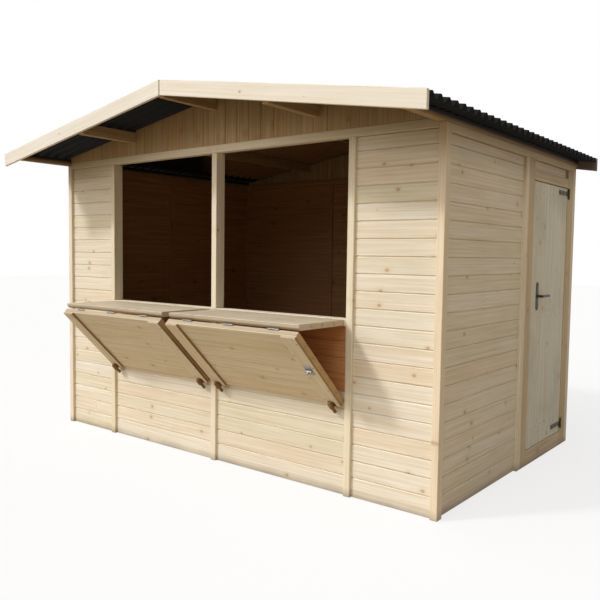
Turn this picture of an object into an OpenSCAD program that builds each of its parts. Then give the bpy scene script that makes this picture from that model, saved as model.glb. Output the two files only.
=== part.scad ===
// Wooden market hut: a gable-fronted timber stall with two folding counter flaps,
// a boarded door in the right wall and a corrugated roof on purlins.
// Millimetres, +Z up, the serving front faces -Y, origin under the middle of the roof.

/* [Hut] */
// Width over the corner posts
hut_w = 3000; // [2600:50:3600]
// Depth over the corner posts
hut_d = 1900; // [1700:50:2600]
// Height of the side walls, to the underside of the eave purlins
wall_h = 1865; // [1820:5:2100]

/* [Timber] */
// Width of the posts seen from outside
post_w = 40; // [35:1:60]
// Depth of the posts through the wall
post_d = 50; // [48:1:80]
// Thickness of the wall boards
board_t = 20; // [16:1:20]
// How far the wall boards lie behind the outer faces of the posts
board_set = 16; // [10:1:28]
// Height of the rail under each gable
rail_h = 45; // [40:1:60]
// How far the gable rails rise above the side walls
rail_lift = 22; // [10:1:26]
// Height of the plates on top of the side walls
plate_h = 40; // [30:1:60]

/* [Serving hatches] */
// Clear width of each hatch
hatch_w = 940; // [800:10:1000]
// Height of the sill tops above the ground
sill_top = 924; // [860:2:1000]
// Height of the sills
sill_h = 38; // [30:1:50]
// Depth of the hatch posts and the sills
hatch_d = 70; // [55:1:100]

/* [Folding flaps] */
// How far the counter leaves reach out
counter_d = 372; // [300:2:380]
// Thickness of the counter leaves
counter_t = 30; // [24:1:36]
// Slope of the prop leaves
prop_angle = 45; // [40:1:50]
// Thickness of the boards of the prop leaves
prop_t = 28; // [20:1:30]
// Thickness of the battens on the prop leaves
batten_t = 14; // [10:1:16]
// Width of the battens on the prop leaves
batten_w = 92; // [60:1:110]
// Gap between a flap and the posts beside it
flap_gap = 10; // [5:1:20]
// Gap between a counter leaf and its prop leaf at the fold
fold_gap = 4; // [2:0.5:6]

/* [Roof] */
// Roof pitch in degrees
pitch = 9.4; // [7:0.2:14]
// Front overhang, to the face of the fascia boards
front_over = 417; // [410:1:520]
// Back overhang, to the face of the fascia boards
back_over = 60; // [50:1:200]
// Overhang at each eave
side_over = 118; // [60:1:200]
// Height of the fascia boards
fascia_h = 84; // [78:1:140]
// Thickness of the fascia boards
fascia_t = 20; // [16:1:28]
// Width of the purlins
purlin_w = 40; // [30:1:40]
// Height of the ridge and middle purlins
purlin_h = 60; // [45:1:64]
// Height of the outer faces of the eave purlins
eave_purlin_h = 39; // [32:1:60]
// Pitch of the corrugations
wave_pitch = 76; // [60:2:120]
// Height of the corrugations
wave_h = 30; // [20:1:36]
// Thickness of the roof sheets
sheet_t = 3; // [2:0.5:4]

/* [Door] */
// Width of the door leaf
door_w = 595; // [560:1:640]
// Distance from the top of the door leaf to the top of the side wall
door_drop = 165; // [140:1:260]
// Thickness of the door boards
door_t = 20; // [18:1:24]
// Gap round the door leaf
door_gap = 6; // [6:0.5:8]
// Width of the jamb on the lock side
lock_jamb_w = 88; // [60:1:100]
// Width of the jamb on the hinge side
hinge_jamb_w = 105; // [80:1:120]
// Height of the door threshold
threshold_h = 94; // [86:1:110]
// Height of the lever above the ground
lever_z = 1020; // [950:5:1100]
// Length of the lever
lever_l = 110; // [90:1:130]
// Length of the hinge straps
strap_l = 170; // [120:1:240]

/* [Floor] */
// Height of the floor bearers
bearer_h = 60; // [40:1:60]
// Width of the floor bearers
bearer_w = 70; // [50:1:90]
// Thickness of the floor deck
deck_t = 25; // [18:1:26]

/* [Hidden] */
$fn = 48;
// Distance left between pieces that rest on each other at a slope
seat_gap = 0.2;
// Room left beside a purlin in its notch
notch_gap = 0.3;
half_w = hut_w / 2;
roof_half_w = half_w + side_over;
roof_d = hut_d + front_over + back_over;
roof_front = -roof_d / 2;
roof_back = roof_d / 2;
front_y = roof_front + front_over;
back_y = front_y + hut_d;
floor_front = front_y + max(post_d, hatch_d);
floor_back = back_y - post_d;
slope = tan(pitch);
rail_top = wall_h + rail_lift;
rail_under = rail_top - rail_h;
plate_under = wall_h - plate_h;
inner_half_w = half_w - post_w;
hatch_post_x = post_w / 2 + hatch_w;
// Underside of the sheets at the ridge, and at any distance from it
ridge_under = wall_h + eave_purlin_h + slope * half_w;
function sheet_under(x) = ridge_under - slope * abs(x);
function roof_top(x) = sheet_under(x) + wave_h / cos(pitch);
mid_purlin_x = half_w / 2;
eave_purlin_x = half_w - purlin_w / 2;
purlin_l = roof_d - 2 * fascia_t;
// Doorway, set out from the back corner
doorway_back = back_y - post_d - hinge_jamb_w;
doorway_w = door_w + 2 * door_gap;
doorway_front = doorway_back - doorway_w;
door_post_front = doorway_front - lock_jamb_w - post_d;
door_under = threshold_h + door_gap;
door_top = wall_h - door_drop;
head_under = door_top + door_gap;
head_h = 60;

pine = "#d9bd86";
pine_dark = "#b8925c";
roof_black = "#2b2a2a";
iron = "#222222";
zinc = "#c9ccce";

// A box given by its low and high corners
module span(lo, hi) {
    translate(lo)
        cube(hi - lo);
}

// The children and their mirror image in the middle plane
module both_sides() {
    children();
    mirror([1, 0, 0])
        children();
}

// An outline drawn in x and z, standing from y to y + depth
module upright(y, depth) {
    translate([0, y + depth, 0])
        rotate([90, 0, 0])
            linear_extrude(depth)
                children();
}

module floor_bearers() {
    bearer_step = (hut_w - 2 * post_d - 2 * bearer_w) / 4;
    color(pine_dark)
        for (i = [-2:2])
            translate([i * bearer_step - bearer_w / 2, floor_front, 0])
                cube([bearer_w, floor_back - floor_front, bearer_h]);
}

module floor_deck() {
    color(pine_dark)
        span([-half_w + post_d, floor_front, bearer_h],
            [half_w - post_d, floor_back, bearer_h + deck_t]);
}

module front_corner_posts() {
    color(pine)
        both_sides()
            span([inner_half_w, front_y, 0], [half_w, front_y + post_d, wall_h]);
}

module back_corner_posts() {
    color(pine)
        both_sides()
            span([inner_half_w, back_y - post_d, 0], [half_w, back_y, wall_h]);
}

module hatch_posts() {
    color(pine) {
        span([-post_w / 2, front_y, 0], [post_w / 2, front_y + hatch_d, rail_under]);
        both_sides()
            span([hatch_post_x, front_y, 0],
                [hatch_post_x + post_w, front_y + hatch_d, rail_under]);
    }
}

module front_top_rail() {
    color(pine)
        span([-inner_half_w, front_y, rail_under],
            [inner_half_w, front_y + post_d, rail_top]);
}

module front_side_panels() {
    color(pine)
        both_sides()
            span([hatch_post_x + post_w, front_y + board_set, 0],
                [inner_half_w, front_y + board_set + board_t, rail_under]);
}

module hatch_aprons() {
    color(pine)
        both_sides()
            span([post_w / 2, front_y + board_set, 0],
                [hatch_post_x, front_y + board_set + board_t, sill_top - sill_h]);
}

module hatch_sills() {
    color(pine)
        both_sides()
            span([post_w / 2, front_y, sill_top - sill_h],
                [hatch_post_x, front_y + hatch_d, sill_top]);
}

// Boarded triangle over a gable rail, notched for the ridge and middle purlins;
// lift is how far its top runs up into the corrugations
module gable_outline(lift) {
    edge_gap = 2;
    end_z = sheet_under(inner_half_w) - edge_gap + lift;
    ridge_z = sheet_under(0) - edge_gap + lift;
    notch_w = purlin_w + 2 * notch_gap;
    difference() {
        polygon([[-inner_half_w, rail_top], [inner_half_w, rail_top],
            [inner_half_w, end_z], [0, ridge_z], [-inner_half_w, end_z]]);
        for (x = [-mid_purlin_x, 0, mid_purlin_x])
            translate([x - notch_w / 2, purlin_under(x)])
                square([notch_w, 2 * purlin_h]);
    }
}

module front_gable() {
    // Share of the corrugation's height that the boards fill
    fill_share = 0.7;
    color(pine)
        upright(front_y, board_t)
            gable_outline(fill_share * wave_h);
}

module back_gable() {
    color(pine)
        upright(back_y - board_t, board_t)
            gable_outline(0);
}

// The back wall is divided in three bays of nearly equal width
back_post_x = floor((hut_w - 4 * post_w) / 6);

module back_posts() {
    color(pine)
        both_sides()
            span([back_post_x, back_y - post_d, 0],
                [back_post_x + post_w, back_y, rail_under]);
}

module back_wall_panels() {
    outer = back_y - board_set;
    inner = outer - board_t;
    color(pine) {
        span([-back_post_x, inner, 0], [back_post_x, outer, rail_under]);
        both_sides()
            span([back_post_x + post_w, inner, 0], [inner_half_w, outer, rail_under]);
    }
}

module back_top_rail() {
    color(pine)
        span([-inner_half_w, back_y - post_d, rail_under],
            [inner_half_w, back_y, rail_top]);
}

left_post_front = front_y + (hut_d - post_d) / 2;

module left_wall_panels() {
    panel_x = -half_w + board_set;
    color(pine) {
        span([panel_x, front_y + post_d, 0],
            [panel_x + board_t, left_post_front, plate_under]);
        span([panel_x, left_post_front + post_d, 0],
            [panel_x + board_t, back_y - post_d, plate_under]);
    }
}

module left_wall_post() {
    color(pine)
        span([-half_w, left_post_front, 0],
            [-half_w + post_d, left_post_front + post_d, plate_under]);
}

module side_plates() {
    color(pine)
        both_sides()
            span([half_w - post_d, front_y + post_d, plate_under],
                [half_w, back_y - post_d, wall_h]);
}

module right_wall_panel() {
    color(pine)
        span([half_w - board_set - board_t, front_y + post_d, 0],
            [half_w - board_set, door_post_front, plate_under]);
}

module right_wall_post() {
    color(pine)
        span([half_w - post_d, door_post_front, 0],
            [half_w, door_post_front + post_d, plate_under]);
}

module door_jambs() {
    color(pine_dark) {
        span([half_w - post_d, doorway_front - lock_jamb_w, 0],
            [half_w, doorway_front, plate_under]);
        span([half_w - post_d, doorway_back, 0],
            [half_w, doorway_back + hinge_jamb_w, plate_under]);
    }
}

module door_head() {
    color(pine_dark)
        span([half_w - post_d, doorway_front, head_under],
            [half_w, doorway_back, head_under + head_h]);
}

module over_door_panel() {
    color(pine)
        span([half_w - board_set - board_t, doorway_front, head_under + head_h],
            [half_w - board_set, doorway_back, plate_under]);
}

module door_threshold() {
    color(pine_dark)
        span([half_w - post_d, doorway_front, 0], [half_w, doorway_back, threshold_h]);
}

// Underside of a ridge or middle purlin
function purlin_under(x) = sheet_under(abs(x) + purlin_w / 2) - seat_gap - purlin_h;

// Purlin outline with the top planed to the roof
module purlin_outline(x, under) {
    lo = x - purlin_w / 2;
    hi = x + purlin_w / 2;
    top = lo < 0 ? [[hi, sheet_under(hi)], [0, sheet_under(0)], [lo, sheet_under(lo)]]
        : [[hi, sheet_under(hi)], [lo, sheet_under(lo)]];
    polygon(concat([[lo, under], [hi, under]], [for (p = top) p - [0, seat_gap]]));
}

module ridge_purlin() {
    color(pine_dark)
        upright(roof_front + fascia_t, purlin_l)
            purlin_outline(0, purlin_under(0));
}

module middle_purlins() {
    color(pine_dark)
        both_sides()
            upright(roof_front + fascia_t, purlin_l)
                purlin_outline(mid_purlin_x, purlin_under(mid_purlin_x));
}

module eave_purlins() {
    color(pine_dark)
        both_sides()
            upright(roof_front + fascia_t, purlin_l)
                purlin_outline(eave_purlin_x, wall_h);
}

// Wave of a roof sheet, drawn along y with its lowest points at zero height
// and a crest over the front gable
module wave_outline() {
    points_per_wave = 8;
    step = wave_pitch / points_per_wave;
    crest_y = front_y + board_t / 2;
    sheet_end = purlin_l / 2 - seat_gap;
    first = ceil((-sheet_end - crest_y) / step);
    last = floor((sheet_end - crest_y) / step) - 1;
    middle = (wave_h - sheet_t) / 2;
    swing = middle / cos(180 / points_per_wave);
    low = [for (i = [first:last]) [crest_y + (i + 0.5) * step,
        middle + swing * cos(360 * (i + 0.5) / points_per_wave)]];
    high = [for (i = [len(low) - 1:-1:0]) low[i] + [0, sheet_t]];
    polygon(concat(low, high));
}

module roof_sheet() {
    ridge_gap = 1;
    sheet_l = (roof_half_w - wave_h * sin(pitch)) / cos(pitch) - ridge_gap;
    translate([0, 0, ridge_under])
        rotate([0, pitch, 0])
            translate([ridge_gap, 0, 0])
                rotate([90, 0, 90])
                    linear_extrude(sheet_l)
                        wave_outline();
}

module left_roof_sheet() {
    color(roof_black)
        mirror([1, 0, 0])
            roof_sheet();
}

module right_roof_sheet() {
    color(roof_black)
        roof_sheet();
}

module ridge_cap() {
    cap_w = 130;
    cap_t = 3;
    function cap_z(x) = roof_top(x) + seat_gap;
    color(roof_black)
        upright(roof_front + fascia_t + seat_gap, purlin_l - 2 * seat_gap)
            polygon([[-cap_w, cap_z(cap_w)], [0, cap_z(0)], [cap_w, cap_z(cap_w)],
                [cap_w, cap_z(cap_w) + cap_t], [0, cap_z(0) + cap_t],
                [-cap_w, cap_z(cap_w) + cap_t]]);
}

// A pair of fascia boards meeting at the ridge
module fascia_pair(y) {
    joint_gap = 4;
    both_sides()
        upright(y, fascia_t)
            polygon([[joint_gap, roof_top(joint_gap)],
                [joint_gap, roof_top(joint_gap) - fascia_h],
                [roof_half_w, roof_top(roof_half_w) - fascia_h],
                [roof_half_w, roof_top(roof_half_w)]]);
}

module front_fascia_boards() {
    color(pine)
        fascia_pair(roof_front);
}

module back_fascia_boards() {
    color(pine)
        fascia_pair(roof_back - fascia_t);
}

// Folding flaps: a level counter leaf and a prop leaf sloping back to the wall
flap_lo = post_w / 2 + flap_gap;
flap_hi = hatch_post_x - flap_gap;
counter_drop = 3;
counter_top = sill_top - counter_drop;
counter_under = counter_top - counter_t;
prop_l = (counter_d + board_set - seat_gap) / cos(prop_angle);

// Frame of a prop leaf: y runs down the leaf, z out of its upper face
module on_prop() {
    translate([0, front_y - counter_d, counter_under - fold_gap])
        rotate([-prop_angle, 0, 0])
            children();
}

module counter_leaves() {
    color(pine)
        both_sides()
            span([flap_lo, front_y - counter_d, counter_under],
                [flap_hi, front_y, counter_top]);
}

module prop_leaves() {
    color(pine)
        both_sides()
            on_prop()
                span([flap_lo, 0, -prop_t], [flap_hi, prop_l, 0]);
}

module prop_battens() {
    color(pine)
        both_sides()
            on_prop()
                for (x = [flap_lo, flap_hi - batten_w])
                    span([x, 0, -prop_t - batten_t], [x + batten_w, prop_l, -prop_t]);
}

// Outer face of the battens in the frame of a prop leaf, with room for seating
prop_face = -prop_t - batten_t - seat_gap;

// Knuckles lying in the fold, against the counter leaf and the end of the prop leaf
module flap_hinges() {
    hinge_l = 70;
    hinge_r = 4;
    hinge_in = 120;
    reach = hinge_r + seat_gap;
    first = flap_lo + hinge_in;
    step = (flap_hi - flap_lo - 2 * hinge_in - hinge_l) / 2;
    color(zinc)
        both_sides()
            for (i = [0:2])
                translate([first + i * step, front_y - counter_d - reach,
                        counter_under - fold_gap + reach * tan(prop_angle / 2)])
                    rotate([0, 90, 0])
                        cylinder(h = hinge_l, r = hinge_r);
}

// Short barrel bolts at the feet of the battens, shot past the ends of the prop leaves
module flap_bolts() {
    bolt_r = 9;
    bolt_l = 84;
    bolt_out = 36;
    plate_w = 42;
    plate_l = 40;
    plate_t = 3;
    barrel_r = 14;
    barrel_l = 32;
    barrel_in = 4;
    bolt_z = prop_face - barrel_r;
    color(iron)
        both_sides()
            on_prop()
                for (x = [flap_lo + batten_w / 2, flap_hi - batten_w / 2])
                    translate([x, prop_l, 0]) {
                        span([-plate_w / 2, -plate_l, prop_face - plate_t],
                            [plate_w / 2, 0, prop_face]);
                        translate([0, bolt_out, bolt_z])
                            rotate([90, 0, 0])
                                cylinder(h = bolt_l, r = bolt_r);
                        translate([0, -barrel_in, bolt_z])
                            rotate([90, 0, 0])
                                cylinder(h = barrel_l, r = barrel_r);
                    }
}

// Slide bolt on the outer batten of the right flap
module flap_latch() {
    latch_w = 40;
    latch_l = 66;
    latch_t = 3;
    latch_y = 215;
    rod_r = 7;
    knob_r = 6;
    knob_h = 20;
    rod_z = prop_face - latch_t - rod_r + 1;
    color(zinc)
        on_prop()
            translate([flap_hi - batten_w / 2, latch_y, 0]) {
                span([-latch_w / 2, 0, prop_face - latch_t], [latch_w / 2, latch_l, prop_face]);
                translate([-latch_w / 2, latch_l / 2, rod_z])
                    rotate([0, 90, 0])
                        cylinder(h = latch_w, r = rod_r);
                translate([0, latch_l / 2, rod_z - rod_r - knob_h / 2])
                    cylinder(h = knob_h, r = knob_r);
            }
}

// Door: boards flush with the posts, ledges inside, strap hinges at its back edge
leaf_front = doorway_front + door_gap;
leaf_back = doorway_back - door_gap;
hinge_out = 8;
hinge_x = half_w + hinge_out;
hinge_y = doorway_back - door_gap / 2;
hinge_from_foot = 54;
hinge_from_top = 32;
hinge_zs = [door_under + hinge_from_foot, door_top - hinge_from_top];
knuckle_r = 7;
knuckle_h = 28;
pin_r = 3;
pin_gap = 0.08;
iron_t = 3;

module door_leaf() {
    color(pine_dark)
        span([half_w - door_t, leaf_front, door_under], [half_w, leaf_back, door_top]);
}

module door_ledges() {
    ledge_t = 20;
    ledge_h = 90;
    ledge_in = 40;
    color(pine_dark)
        for (z = [door_under + ledge_in, (door_under + door_top - ledge_h) / 2,
                door_top - ledge_in - ledge_h])
            span([half_w - door_t - ledge_t, leaf_front + ledge_in, z],
                [half_w - door_t, leaf_back - ledge_in, z + ledge_h]);
}

module door_straps() {
    // Where the strap runs into its knuckle
    strap_in = 1;
    color(iron)
        for (z = hinge_zs)
            translate([hinge_x, hinge_y, z - knuckle_h / 2])
                difference() {
                    union() {
                        cylinder(h = knuckle_h, r = knuckle_r);
                        span([seat_gap - hinge_out, -strap_l, 0],
                            [seat_gap + iron_t - hinge_out, -strap_in, knuckle_h]);
                    }
                    translate([0, 0, -knuckle_h])
                        cylinder(h = 3 * knuckle_h, r = pin_r + pin_gap);
                }
}

module door_hinge_plates() {
    plate_h = 70;
    plate_w = 40;
    plate_in = knuckle_r + 2;
    knuckle_gap = 0.5;
    outer_h = 18;
    low = knuckle_h / 2 + knuckle_gap;
    color(iron)
        for (z = hinge_zs)
            translate([hinge_x, hinge_y, z]) {
                cylinder(h = 2 * (low + outer_h), r = pin_r, center = true);
                span([seat_gap - hinge_out, plate_in, -plate_h / 2],
                    [seat_gap + iron_t - hinge_out, plate_w, plate_h / 2]);
                for (end = [low, -low - outer_h])
                    translate([0, 0, end]) {
                        cylinder(h = outer_h, r = knuckle_r);
                        span([seat_gap - hinge_out, 0, 0],
                            [seat_gap + iron_t - hinge_out, plate_w, outer_h]);
                    }
            }
}

// Lever on a long backplate with round ends, pointing to the hinges
module door_handle() {
    plate_h = 170;
    plate_w = 36;
    plate_t = 4;
    backset = 91;
    neck_r = 8;
    neck_l = 34;
    lever_r = 8;
    key_r = 5;
    key_drop = 55;
    color(iron)
        translate([half_w + seat_gap, leaf_front + backset, lever_z]) {
            rotate([90, 0, 90])
                linear_extrude(plate_t)
                    difference() {
                        union() {
                            square([plate_w, plate_h - plate_w], center = true);
                            for (end = [-1, 1])
                                translate([0, end * (plate_h - plate_w) / 2])
                                    circle(d = plate_w);
                        }
                        translate([0, -key_drop])
                            circle(r = key_r);
                    }
            rotate([0, 90, 0])
                cylinder(h = neck_l, r = neck_r);
            translate([neck_l, 0, 0])
                sphere(r = lever_r);
            translate([neck_l, 0, 0])
                rotate([-90, 0, 0])
                    cylinder(h = lever_l, r = lever_r);
            translate([neck_l, lever_l, 0])
                sphere(r = lever_r);
        }
}

floor_bearers();
floor_deck();
front_corner_posts();
back_corner_posts();
hatch_posts();
front_top_rail();
front_side_panels();
hatch_aprons();
hatch_sills();
front_gable();
back_posts();
back_wall_panels();
back_top_rail();
back_gable();
left_wall_panels();
left_wall_post();
side_plates();
right_wall_panel();
right_wall_post();
door_jambs();
door_head();
over_door_panel();
door_threshold();
ridge_purlin();
middle_purlins();
eave_purlins();
left_roof_sheet();
right_roof_sheet();
ridge_cap();
front_fascia_boards();
back_fascia_boards();
counter_leaves();
prop_leaves();
prop_battens();
flap_hinges();
flap_bolts();
flap_latch();
door_leaf();
door_ledges();
door_straps();
door_hinge_plates();
door_handle();
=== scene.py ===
"""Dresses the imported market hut: boards, timbers, roof sheets, iron work and a plain studio."""
import logging
import math
import random
from dataclasses import dataclass
from enum import Enum
from typing import Any, Callable, Iterable, Sequence

import bmesh
import bpy
from mathutils import Matrix, Vector


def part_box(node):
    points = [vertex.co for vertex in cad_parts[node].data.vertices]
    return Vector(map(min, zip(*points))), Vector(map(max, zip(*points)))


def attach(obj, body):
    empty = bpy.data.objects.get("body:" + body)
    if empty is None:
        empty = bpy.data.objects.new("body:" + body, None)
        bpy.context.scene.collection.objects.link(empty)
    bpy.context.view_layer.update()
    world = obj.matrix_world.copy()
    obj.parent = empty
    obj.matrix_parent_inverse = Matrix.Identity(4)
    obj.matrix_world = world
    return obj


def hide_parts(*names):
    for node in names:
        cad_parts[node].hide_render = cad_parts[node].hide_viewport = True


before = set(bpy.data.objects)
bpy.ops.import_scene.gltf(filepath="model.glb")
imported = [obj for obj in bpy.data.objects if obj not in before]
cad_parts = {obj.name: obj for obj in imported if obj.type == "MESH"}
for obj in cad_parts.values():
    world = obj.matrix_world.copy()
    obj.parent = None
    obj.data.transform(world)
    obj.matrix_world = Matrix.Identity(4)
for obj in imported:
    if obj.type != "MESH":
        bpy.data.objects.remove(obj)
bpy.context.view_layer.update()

LOG = logging.getLogger("market_hut")

X = Vector((1.0, 0.0, 0.0))
Y = Vector((0.0, 1.0, 0.0))
Z = Vector((0.0, 0.0, 1.0))
AXES = (X, Y, Z)

Mesh = bmesh.types.BMesh
Edge = bmesh.types.BMEdge
Face = bmesh.types.BMFace
Tree = bpy.types.NodeTree
Socket = bpy.types.NodeSocket
Band = tuple[float, float]
Cut = tuple[Vector, Vector]
Test = Callable[[Face], bool]

# Middle of the room from front to back, and how far the walls' inner faces lie from it
ROOM_MIDDLE = 0.1785
ROOM_HALF_DEPTH = 0.9
ROOM_HALF_WIDTH = 1.44
# How far the middles of the side boards and of the back boards lie from it
BOARDS_HALF_WIDTH = 1.474
BOARDS_HALF_DEPTH = 0.924
# The sheets look into the room this far before and behind its middle
SHEET_HALF_DEPTH = 0.93
# The apron boards above this height get painted shade, for the shadow of the flaps
FLAP_SHADE_LOW = 0.56
# A face looks along an axis if its normal has this share of it, and roughly so with the second
FACES_ALONG = 0.9
FACES_ABOUT = 0.5
# Points closer than this are one
WELD = 1e-6
# Faces that meet at less than the first angle are one, above the second their edge looks sharp,
# and above the third it is eased
FLAT = math.radians(1)
CREASE = math.radians(35)
RIM = math.radians(40)
# A wave texture of scale one repeats after this length
WAVE_LENGTH = math.tau / 20


class Run(Enum):
    """Way that the boards of a panel run."""

    LEVEL = "level"
    UPRIGHT = "upright"


class Side(Enum):
    """Left or right half of the hut, seen from the front."""

    LEFT = -1
    RIGHT = 1


def linear(colour: str) -> tuple[float, float, float, float]:
    """Turns an sRGB hex colour to linear.

    Args:
        colour: six hex digits after a hash.

    Returns:
        Linear red, green, blue and an alpha of one.
    """
    parts = [int(colour[i:i + 2], 16) / 255 for i in (1, 3, 5)]
    red, green, blue = [
        part / 12.92 if part <= 0.04045 else ((part + 0.055) / 1.055) ** 2.4 for part in parts
    ]
    return (red, green, blue, 1.0)


def add_node(
    tree: Tree, kind: str, inputs: dict[str | int, Any] | None = None, **settings: Any,
) -> bpy.types.Node:
    """Adds a shader node, sets its options and fills or links its sockets.

    Args:
        tree: the tree that gets the node.
        kind: Blender's name of the node type.
        inputs: a value, or another node's output, for each socket named or numbered.
        settings: the node's own options.

    Returns:
        The new node.
    """
    node = tree.nodes.new(kind)
    for name, value in settings.items():
        setattr(node, name, value)
    for socket, value in (inputs or {}).items():
        if isinstance(value, Socket):
            tree.links.new(value, node.inputs[socket])
        else:
            node.inputs[socket].default_value = value
    return node


class Shading:
    """The nodes of a material or world, with a short way to add each kind that is shared."""

    def __init__(self, owner: bpy.types.Material | bpy.types.World) -> None:
        """Starts with an empty node tree.

        Args:
            owner: the new material or world.
        """
        owner.use_nodes = True
        self.tree = owner.node_tree
        self.tree.nodes.clear()

    def place(self) -> Socket:
        """Hands out the piece's own coordinates in metres."""
        return add_node(self.tree, "ShaderNodeTexCoord").outputs["Object"]

    def held(self, name: str) -> bpy.types.NodeOutputs:
        """Hands out what the mesh holds under a name."""
        return add_node(self.tree, "ShaderNodeAttribute", attribute_name=name).outputs

    def axes(self, at: Socket) -> bpy.types.NodeOutputs:
        """Takes a vector apart."""
        return add_node(self.tree, "ShaderNodeSeparateXYZ", {0: at}).outputs

    def maths(self, operation: str, *values: Any, clamp: bool = False) -> Socket:
        """Works out a number from sockets or numbers."""
        return add_node(self.tree, "ShaderNodeMath", dict(enumerate(values)),
                        operation=operation, use_clamp=clamp).outputs[0]

    def vector(self, operation: str, *values: Any) -> bpy.types.NodeOutputs:
        """Works out a vector, or its length, from sockets or vectors."""
        return add_node(self.tree, "ShaderNodeVectorMath", dict(enumerate(values)),
                        operation=operation).outputs

    def noise(self, at: Socket, size: float, detail: float, rough: float = 0.5) -> Socket:
        """Adds noise with patches of about this size."""
        return add_node(self.tree, "ShaderNodeTexNoise", {
            "Vector": at, "Scale": 1 / size, "Detail": detail, "Roughness": rough}).outputs[0]

    def ranged(
        self, value: Socket, low: float, high: float, start: float = 0.0, end: float = 1.0,
        shape: str = "LINEAR",
    ) -> Socket:
        """Stretches the range from low to high so that it goes from start to end."""
        return add_node(self.tree, "ShaderNodeMapRange", {
            "Value": value, "From Min": low, "From Max": high, "To Min": start, "To Max": end,
        }, interpolation_type=shape).outputs[0]

    def mix(self, share: Any, first: Any, second: Any, blend: str = "MIX") -> Socket:
        """Mixes two colours, each a socket or hex digits."""
        one, two = [linear(shade) if isinstance(shade, str) else shade for shade in (first, second)]
        return add_node(self.tree, "ShaderNodeMix", {0: share, 6: one, 7: two},
                        data_type="RGBA", blend_type=blend).outputs[2]

    def seen(self) -> Socket:
        """Finds where the camera, a reflection or clear glass sees the surface.

        Returns:
            One where it is seen, else nought.
        """
        path = add_node(self.tree, "ShaderNodeLightPath").outputs
        first = self.maths("MAXIMUM", path["Is Camera Ray"], path["Is Glossy Ray"])
        return self.maths("MAXIMUM", first, path["Is Transmission Ray"])

    def either(
        self, share: Socket, first: bpy.types.Node, second: bpy.types.Node, output: str,
    ) -> None:
        """Ends the tree in a mix of two shaders."""
        both = add_node(self.tree, "ShaderNodeMixShader", {
            0: share, 1: first.outputs[0], 2: second.outputs[0]})
        add_node(self.tree, output, {"Surface": both.outputs[0]})

    def surface(
        self, colour: Socket, rough: Socket, relief: Socket, strength: float, height: float,
        shine: float, metallic: float = 0.0,
    ) -> None:
        """Ends the tree in a surface.

        Args:
            colour: its colour.
            rough: how matt it is.
            relief: its fine relief.
            strength: how much of the relief shows.
            height: how high the relief is.
            shine: how much light it throws back.
            metallic: how much of it is bare metal.
        """
        bump = add_node(self.tree, "ShaderNodeBump", {
            "Strength": strength, "Distance": height, "Height": relief}).outputs[0]
        shader = add_node(self.tree, "ShaderNodeBsdfPrincipled", {
            "Base Color": colour, "Roughness": rough, "Normal": bump, "Metallic": metallic,
            "Specular IOR Level": shine})
        add_node(self.tree, "ShaderNodeOutputMaterial", {"Surface": shader.outputs[0]})


@dataclass(frozen=True)
class RoofLines:
    """Lines that the roof is set out from, as in the part's source."""

    pitch: float = math.radians(9.4)
    eave_under: float = 1.904
    half_wall: float = 1.5
    half_roof: float = 1.618
    depth: float = 2.377
    fascia_t: float = 0.02
    fascia_h: float = 0.084
    wave_pitch: float = 0.076
    wave_h: float = 0.03
    sheet_t: float = 0.003
    purlin_w: float = 0.04
    purlin_h: float = 0.06
    seat: float = 0.0002

    @property
    def slope(self) -> float:
        """Rise over run."""
        return math.tan(self.pitch)

    def sheet_under(self, x: float) -> float:
        """Underside of the sheets at a distance from the ridge."""
        return self.eave_under + self.slope * (self.half_wall - abs(x))

    def roof_top(self, x: float) -> float:
        """Top of the corrugations at a distance from the ridge."""
        return self.sheet_under(x) + self.wave_h / math.cos(self.pitch)

    def purlin_under(self, x: float) -> float:
        """Underside of a ridge or middle purlin."""
        return self.sheet_under(abs(x) + self.purlin_w / 2) - self.seat - self.purlin_h

    def upward(self, side: Side) -> Vector:
        """Way that a slope looks."""
        return Vector((side.value * self.slope, 0.0, 1.0)).normalized()

    def slope_cuts(self, ridge_z: float) -> list[Cut]:
        """Planes of both slopes through a ridge line at this height."""
        return [(Z * ridge_z, self.upward(side)) for side in Side]


LINES = RoofLines()


@dataclass(frozen=True)
class Finish:
    """What a surface is made of; each kind builds its own nodes."""

    name: str

    def material(self) -> bpy.types.Material:
        """Makes the finish's one material at its first use.

        Returns:
            The material.
        """
        made = bpy.data.materials.get(self.name)
        if made is None:
            made = bpy.data.materials.new(self.name)
            self.build(Shading(made))
        return made

    def build(self, nodes: Shading) -> None:
        """Builds the nodes of the finish."""
        raise NotImplementedError


Zone = tuple[Finish, Test]


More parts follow.
